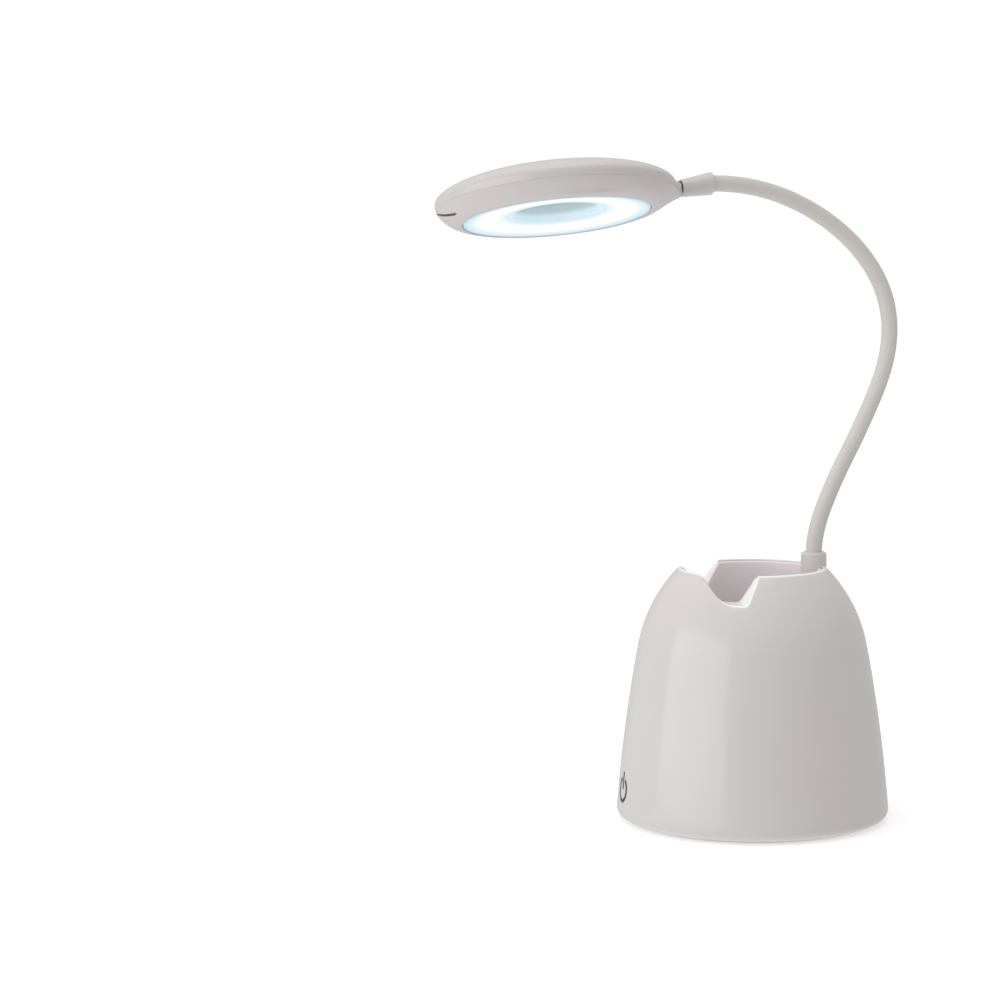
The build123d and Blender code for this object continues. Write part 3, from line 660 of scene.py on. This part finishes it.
def back_piece():
    angles = head_angles()
    rows = []
    steps = 40
    low = part_z + part_gap / 2
    rim = head_r - 0.4
    limit = throat_y - slot_w

    def row(points):
        rows.append([(*cut_at_slot(x, y, limit), z) for x, y, z in points])

    row([((rim - 1.7 + outline_reach(a)) * math.cos(a), (rim - 1.7 + outline_reach(a)) * math.sin(a), low)
         for a in angles])
    row([((rim - 0.05 + outline_reach(a)) * math.cos(a), (rim - 0.05 + outline_reach(a)) * math.sin(a), low)
         for a in angles])
    for i in range(0, 5):
        t = i / 4
        r0 = rim + 0.4 * math.sin(t * math.pi / 2)
        row([((r0 + outline_reach(a)) * math.cos(a), (r0 + outline_reach(a)) * math.sin(a),
              low + 0.04 + (head_wide_z - low - 0.04) * t) for a in angles])
    hole = ring_r + 0.25
    final = math.acos(hole / head_r)
    for i in range(1, steps + 1):
        a2 = final * i / steps
        points = []
        for a in angles:
            share = (head_r * math.cos(a2) - hole) / (head_r - hole)
            big = head_r + outline_reach(a)
            r = hole + (big - hole) * share
            x, y = r * math.cos(a), r * math.sin(a)
            z = dome_height(r, big + fairing_swell(a) * share) if i < steps else dome_height(r, head_r)
            points.append((x, y, back_surface(x, y, z)))
        row(points)
    top = rows[-1]
    rows.append([(x * (hole - 0.12) / hole, y * (hole - 0.12) / hole, z - 0.2) for x, y, z in top])
    rows.append([(x * (hole - 0.12) / hole, y * (hole - 0.12) / hole, z - 2.2) for x, y, z in top])
    rows.append([(x * (hole + 6) / hole, y * (hole + 6) / hole, z - 3.0) for x, y, z in top])
    verts = [p for r in rows for p in r]
    faces = grid_faces(len(rows), len(angles), closed_rows=True)
    return new_piece("head_back", verts, faces, head_frame, 35, shaded_head_skin)


finish_piece(back_piece(), "head", "white_shell", "back_cover")


def under_height(r, reach, z):
    """Lifts the underside towards the neck."""
    if reach < 0.02:
        return z
    rise = np.interp(r, [bezel_r, 45.0, 53.0, 60.0], [0.0, 3.9, 6.9, 7.4])
    share = min(1.0, reach / fairing) * min(1.0, (r - bezel_r) / 8.0)
    return z + (max(rise, z) - z) * share


slit_offs = [-26.0, -20.0, -12.0, -5.0, 2.0, 12.0]
slit_heights = [7.2, 6.4, 4.6, 3.3, 2.4, 1.9]


def front_arc():
    """The bezel's outline, from the parting line down to its inner edge."""
    a = np.array((head_r - 0.4, part_z - part_gap / 2))
    m, b = np.array((bezel_mid_r, bezel_mid_z)), np.array((bezel_r, 0.0))
    centre = np.linalg.solve(2 * np.array((b - a, m - a)), np.array((b @ b - a @ a, m @ m - a @ a)))
    radius = np.linalg.norm(a - centre)
    t0, t1 = math.atan2(*(a - centre)[::-1]), math.atan2(*(b - centre)[::-1])
    turns = [t0 + (t1 - t0) * i / 56 for i in range(57)]
    return [(centre[0] + radius * math.cos(t), centre[1] + radius * math.sin(t)) for t in turns]


def front_piece():
    angles = head_angles()
    rows = []
    high = part_z - part_gap / 2
    rim = head_r - 0.4
    limit = throat_y - slot_w
    lens_edge = lens_r + 0.42
    skin = front_arc()

    def slit(r0, z, angle):
        """How deep the short slit at the nose is here."""
        off = (math.degrees(angle) + 270) % 360 - 180
        if not -26 < off < 12:
            return 0.0
        line = float(np.interp(off, slit_offs, slit_heights))
        ends = min(1.0, (off + 26) / 6, (12 - off) / 10)
        return 1.3 * ends * math.exp(-((z - line) / 0.36) ** 2)

    def place(r0, z, angle, fixed=False):
        reach = 0.0 if fixed else outline_reach(angle)
        share = max(0.0, (r0 - bezel_r) / (head_r - bezel_r))
        r = r0 + reach * share
        lift = under_height(r, reach, z) if not fixed else z
        x, y = r * math.cos(angle), r * math.sin(angle)
        return (*cut_at_slot(x, y, limit), lift)

    rows.append([place(rim - 1.7, high, a) for a in angles])
    rows.append([place(rim - 0.05, high, a) for a in angles])
    for r0, z in skin:
        rows.append([place(r0 - slit(r0, z, a), z, a) for a in angles])
    for r0, z in ((lens_edge + 0.25, 0.0), (lens_edge, 0.2), (lens_edge, 3.0), (40.5, 3.4), (44.0, 5.0)):
        rows.append([place(r0, z, a, True) for a in angles])
    verts = [p for r in rows for p in r]
    faces = grid_faces(len(rows), len(angles), closed_rows=True)
    return new_piece("head_front", verts, faces, head_frame, 35, shaded_head_skin)


finish_piece(front_piece(), "head", "white_shell", "front_housing")


def slit_shade_strip():
    """A dark strip at the bottom of the short slit at the nose: painted shade in the groove."""
    skin = np.array(front_arc())[::-1]
    verts, steps = [], 30
    for depth in (0.30, 0.75):
        for side in (-0.26, 0.26):
            for i in range(steps + 1):
                off = -19.0 + 24.0 * i / steps
                z = float(np.interp(off, slit_offs, slit_heights)) + side * min(1.0, 8.0 * i * (steps - i) / steps ** 2)
                r = float(np.interp(z, skin[:, 1], skin[:, 0])) - depth
                a = math.radians(off - 90)
                verts.append((r * math.cos(a), r * math.sin(a), z))
    n = steps + 1
    faces = []
    for i in range(steps):
        a, b, c, d = i, n + i, 2 * n + i, 3 * n + i
        faces += [(a, a + 1, b + 1, b), (c, d, d + 1, c + 1), (a, c, c + 1, a + 1), (b, b + 1, d + 1, d)]
    for i in (0, steps):
        faces.append((i, n + i, 3 * n + i, 2 * n + i))
    return new_piece("nose_slit_painted_shade", verts, faces, head_frame, 40, mats["tray_plastic"])


# the dark strip paints the shade at the bottom of the nose slit
finish_piece(slit_shade_strip(), "head", "tray_plastic")


def neck_piece():
    """The coupler that carries the arm's end."""
    stations = [(throat_y - 1.6, neck_throat_r - 1.3, 1.3), (throat_y, neck_throat_r - 1.3, 1.3),
                (throat_y + 0.02, neck_throat_r - 0.15, 0.15), (throat_y + 0.25, neck_throat_r + 0.02, 0)]
    for i in range(1, 13):
        t = i / 12
        y = throat_y + 0.25 + (neck_len - 1.0) * t
        stations.append((y, neck_throat_r + 0.02 + (neck_r - neck_throat_r - 0.02) * t, 0))
    stations += [(neck_y - 0.45, neck_r + 0.02, 0), (neck_y - 0.18, neck_r - 0.1, 0), (neck_y, neck_r - 0.35, 0),
                 (neck_y, arm_r + 0.35, 0), (neck_y - 0.1, arm_r + 0.16, 0), (neck_y - 0.5, arm_r + 0.06, 0),
                 (neck_y - 3.8, arm_r + 0.06, 0), (neck_y - 3.9, 0.05, 0)]
    count = 48
    verts = []
    for y, r, bridge in stations:
        share = min(1.0, max(0.0, (y - throat_y) / neck_len))
        z = neck_throat_z + (neck_z - neck_throat_z) * share
        for k in range(count):
            a = 2 * math.pi * k / count
            under = min(1.0, max(0.0, -math.sin(a) * 2.2 - 0.9))
            wide = r + bridge * under
            verts.append((wide * math.cos(a), y, z + wide * math.sin(a)))
    faces = grid_faces(len(stations), count)
    faces.append(tuple(range(count)))
    faces.append(tuple(range((len(stations) - 1) * count, len(stations) * count)))
    return new_piece("neck_coupler", verts, faces, head_frame, 40, shaded_head_skin)


finish_piece(neck_piece(), "head", "white_shell")
# a dark plug in the slot between the head and the neck: painted shade in the gap
core = [(0.05, throat_y - 2.2), (neck_throat_r - 0.55, throat_y - 2.2), (neck_throat_r - 0.55, throat_y - 0.02),
        (0.05, throat_y - 0.02)]
core_matrix = head_frame @ Matrix.Translation((0, 0, neck_throat_z)) @ Matrix.Rotation(math.radians(-90), 4, "X")
finish_piece(lathe("neck_core_painted_shade", core, 40, core_matrix, 40, mats["tray_plastic"]), "head", "tray_plastic")


def ring_piece():
    """The funnel through the middle, waisted inside."""
    outline = []
    front = lens_rise
    for i in range(17):
        z = front + 0.3 + 15.5 * i / 16
        t = (z - front) / (20.2 - front)
        r = ring_waist_r + (ring_front_r - ring_waist_r) * max(0.0, 1 - t * 2.2) ** 2 \
            + (ring_back_r - ring_waist_r) * max(0.0, (t - 0.35) / 0.65) ** 2
        outline.append((r, z))
    count = 96
    verts = []
    rows = []
    rows.append([(ring_r - 0.1, front + 0.1)] * count)
    rows.append([(ring_front_r + 0.5, front)] * count)
    rows.append([(ring_front_r + 0.15, front + 0.05)] * count)
    for r, z in outline:
        rows.append([(r, z)] * count)
    for r in (ring_back_r - 0.05, ring_back_r + 0.25, ring_r + 0.05):
        heights = []
        for k in range(count):
            a = 2 * math.pi * k / count
            x, y = r * math.cos(a), r * math.sin(a)
            heights.append((r, back_surface(x, y, dome_height(r, head_r)) - (0.25 if r < ring_back_r else 0.05)))
        rows.append(heights)
    rows.append([(ring_r - 0.1, 12.0)] * count)
    for row in rows:
        for k, (r, z) in enumerate(row):
            a = 2 * math.pi * k / count
            verts.append((r * math.cos(a), r * math.sin(a), z))
    faces = grid_faces(len(rows), count, closed_rows=True)
    return new_piece("head_ring", verts, faces, head_frame, 40, mats["ring"])


finish_piece(ring_piece(), "head", "ring", "inner_ring")

lens_inner = ring_r - 0.3
lens_outline = [(lens_r, lens_low + 0.35), (lens_r - 0.1, lens_low + 0.1), (lens_r - 0.35, lens_low)]
for i in range(1, 15):
    t = i / 14
    lens_outline.append((lens_r - 0.35 + (lens_inner - lens_r + 0.35) * t, lens_low + (lens_rise - lens_low) * t))
lens_outline += [(lens_inner, lens_rise + lens_t), (lens_r, lens_low + lens_t)]
finish_piece(lathe("lens", lens_outline, 128, head_frame, 40, mats["lens"]), "head", "lens", "diffuser")


# ------------------------------------------------------------------ floor, light, camera

def stage_piece():
    """A plain pale floor."""
    verts, faces = [], []
    reach = 6.0
    size = 14
    rows = []
    for i in range(size + 1):
        rows.append(-reach + 2 * reach * i / size)
    for u in rows:
        for v in rows:
            verts.append((u / MM, v / MM, 0.0))
    faces = grid_faces(size + 1, size + 1, closed_columns=False)
    floor = new_piece("floor", verts, faces, None, None, None)
    mat = material("floor_pale", (0.88, 0.88, 0.88), 0.8, vary=0.003, scale=3, bump=0.0,
                   emission=(1, 1, 1), strength=0.28)
    floor.data.materials.append(mat)
    floor.location.z = -0.0002
    floor.visible_diffuse = floor.visible_glossy = floor.visible_shadow = False


stage_piece()

world = bpy.data.worlds.new("studio")
bpy.context.scene.world = world
world.use_nodes = True
bpy.context.scene.view_settings.view_transform = "Standard"


def softbox(name, place, aim, size, power, colour=(1, 1, 1)):
    light = bpy.data.lights.new(name, "AREA")
    light.shape = "RECTANGLE"
    light.size, light.size_y = size
    light.energy = power
    light.color = colour
    lamp = bpy.data.objects.new(name, light)
    bpy.context.scene.collection.objects.link(lamp)
    lamp.location = place
    lamp.rotation_euler = (Vector(aim) - Vector(place)).to_track_quat("-Z", "Y").to_euler()
    lamp.visible_camera = False
    return lamp


azimuth = math.radians(73.0)
toward = Vector((math.sin(azimuth), -math.cos(azimuth), 0))
across = Vector((math.cos(azimuth), math.sin(azimuth), 0))
# the studio's walls: lighter to the left of the camera than to its right, and lighter overhead and below
sky_nodes, sky_links = world.node_tree.nodes, world.node_tree.links


def sky_ramp(direction, stops):
    """Colours across the sky, from straight against a direction, 0, to straight along it, 1."""
    place = sky_nodes.new("ShaderNodeTexCoord")
    reach = sky_nodes.new("ShaderNodeVectorMath")
    reach.operation = "DOT_PRODUCT"
    reach.inputs[1].default_value = direction
    span = sky_nodes.new("ShaderNodeMapRange")
    span.inputs["From Min"].default_value = -1.0
    ramp = sky_nodes.new("ShaderNodeValToRGB")
    ramp.color_ramp.interpolation = "EASE"
    ends = (ramp.color_ramp.elements[0], ramp.color_ramp.elements[1])
    for stop, (position, colour) in zip(ends, (stops[0], stops[-1])):
        stop.position, stop.color = position, (*colour, 1)
    for position, colour in stops[1:-1]:
        ramp.color_ramp.elements.new(position).color = (*colour, 1)
    sky_links.new(place.outputs["Generated"], reach.inputs[0])
    sky_links.new(reach.outputs["Value"], span.inputs["Value"])
    sky_links.new(span.outputs["Result"], ramp.inputs["Fac"])
    return ramp.outputs["Color"]


def grey(v):
    return (v, v, v)


walls = sky_ramp(tuple(across), [(0.0, (0.74, 0.75, 0.76)), (0.45, (0.60, 0.585, 0.58)), (1.0, (0.52, 0.52, 0.52))])
caps = sky_ramp((0, 0, 1), [(0.0, grey(1.0)), (0.30, grey(0.10)), (0.42, grey(0.0)), (0.55, grey(0.0)), (1.0, grey(0.8))])
lit = sky_nodes.new("ShaderNodeMix")
lit.data_type = "RGBA"
lit.inputs["B"].default_value = (1.15, 1.15, 1.15, 1)
sky_links.new(walls, lit.inputs["A"])
sky_links.new(caps, lit.inputs["Factor"])
seen = sky_nodes.new("ShaderNodeMix")
seen.data_type = "RGBA"
seen.inputs["B"].default_value = (1.02, 1.02, 1.02, 1)
path = sky_nodes.new("ShaderNodeLightPath")
sky_links.new(lit.outputs["Result"], seen.inputs["A"])
sky_links.new(path.outputs["Is Camera Ray"], seen.inputs["Factor"])
sky_links.new(seen.outputs["Result"], sky_nodes["Background"].inputs["Color"])
softbox("top", Vector((0, 0, 1.2)), (0, 0, 0.1), (0.7, 0.7), 1.0, (1, 0.98, 0.975))
softbox("left", toward * 0.69 - across * 0.98 + Vector((0, 0, 0.3)), (0, 0, 0.2), (1.5, 0.75), 4.6, (1.0, 0.985, 0.985))
shine_from = head_frame @ Vector((0, 0, -6))
shine_to = head_frame @ Vector((0, 0, -100))
softbox("lamp", shine_from * MM, shine_to * MM, (0.05, 0.05), 0.014, (0.95, 0.98, 1.0))

camera = bpy.data.objects.new("camera", bpy.data.cameras.new("camera"))
bpy.context.scene.collection.objects.link(camera)
bpy.context.scene.camera = camera
camera.data.sensor_width = 36.0
camera.data.lens = 36.0 * 2700.6 / 1000
yaw, pitch_down, roll = azimuth + math.radians(5.36), math.radians(5.66), math.radians(-0.5)
look = Vector((-math.sin(yaw) * math.cos(pitch_down), math.cos(yaw) * math.cos(pitch_down), -math.sin(pitch_down)))
right = look.cross(Vector((0, 0, 1))).normalized()
up = right.cross(look)
tilted_right = right * math.cos(roll) + up * math.sin(roll)
tilted_up = up * math.cos(roll) - right * math.sin(roll)
camera.matrix_world = Matrix.Translation(toward * 1.0881 + Vector((0, 0, 0.2375))) @ Matrix((
    (tilted_right.x, tilted_up.x, -look.x, 0), (tilted_right.y, tilted_up.y, -look.y, 0),
    (tilted_right.z, tilted_up.z, -look.z, 0), (0, 0, 0, 1)))
camera.data.clip_start = 0.01
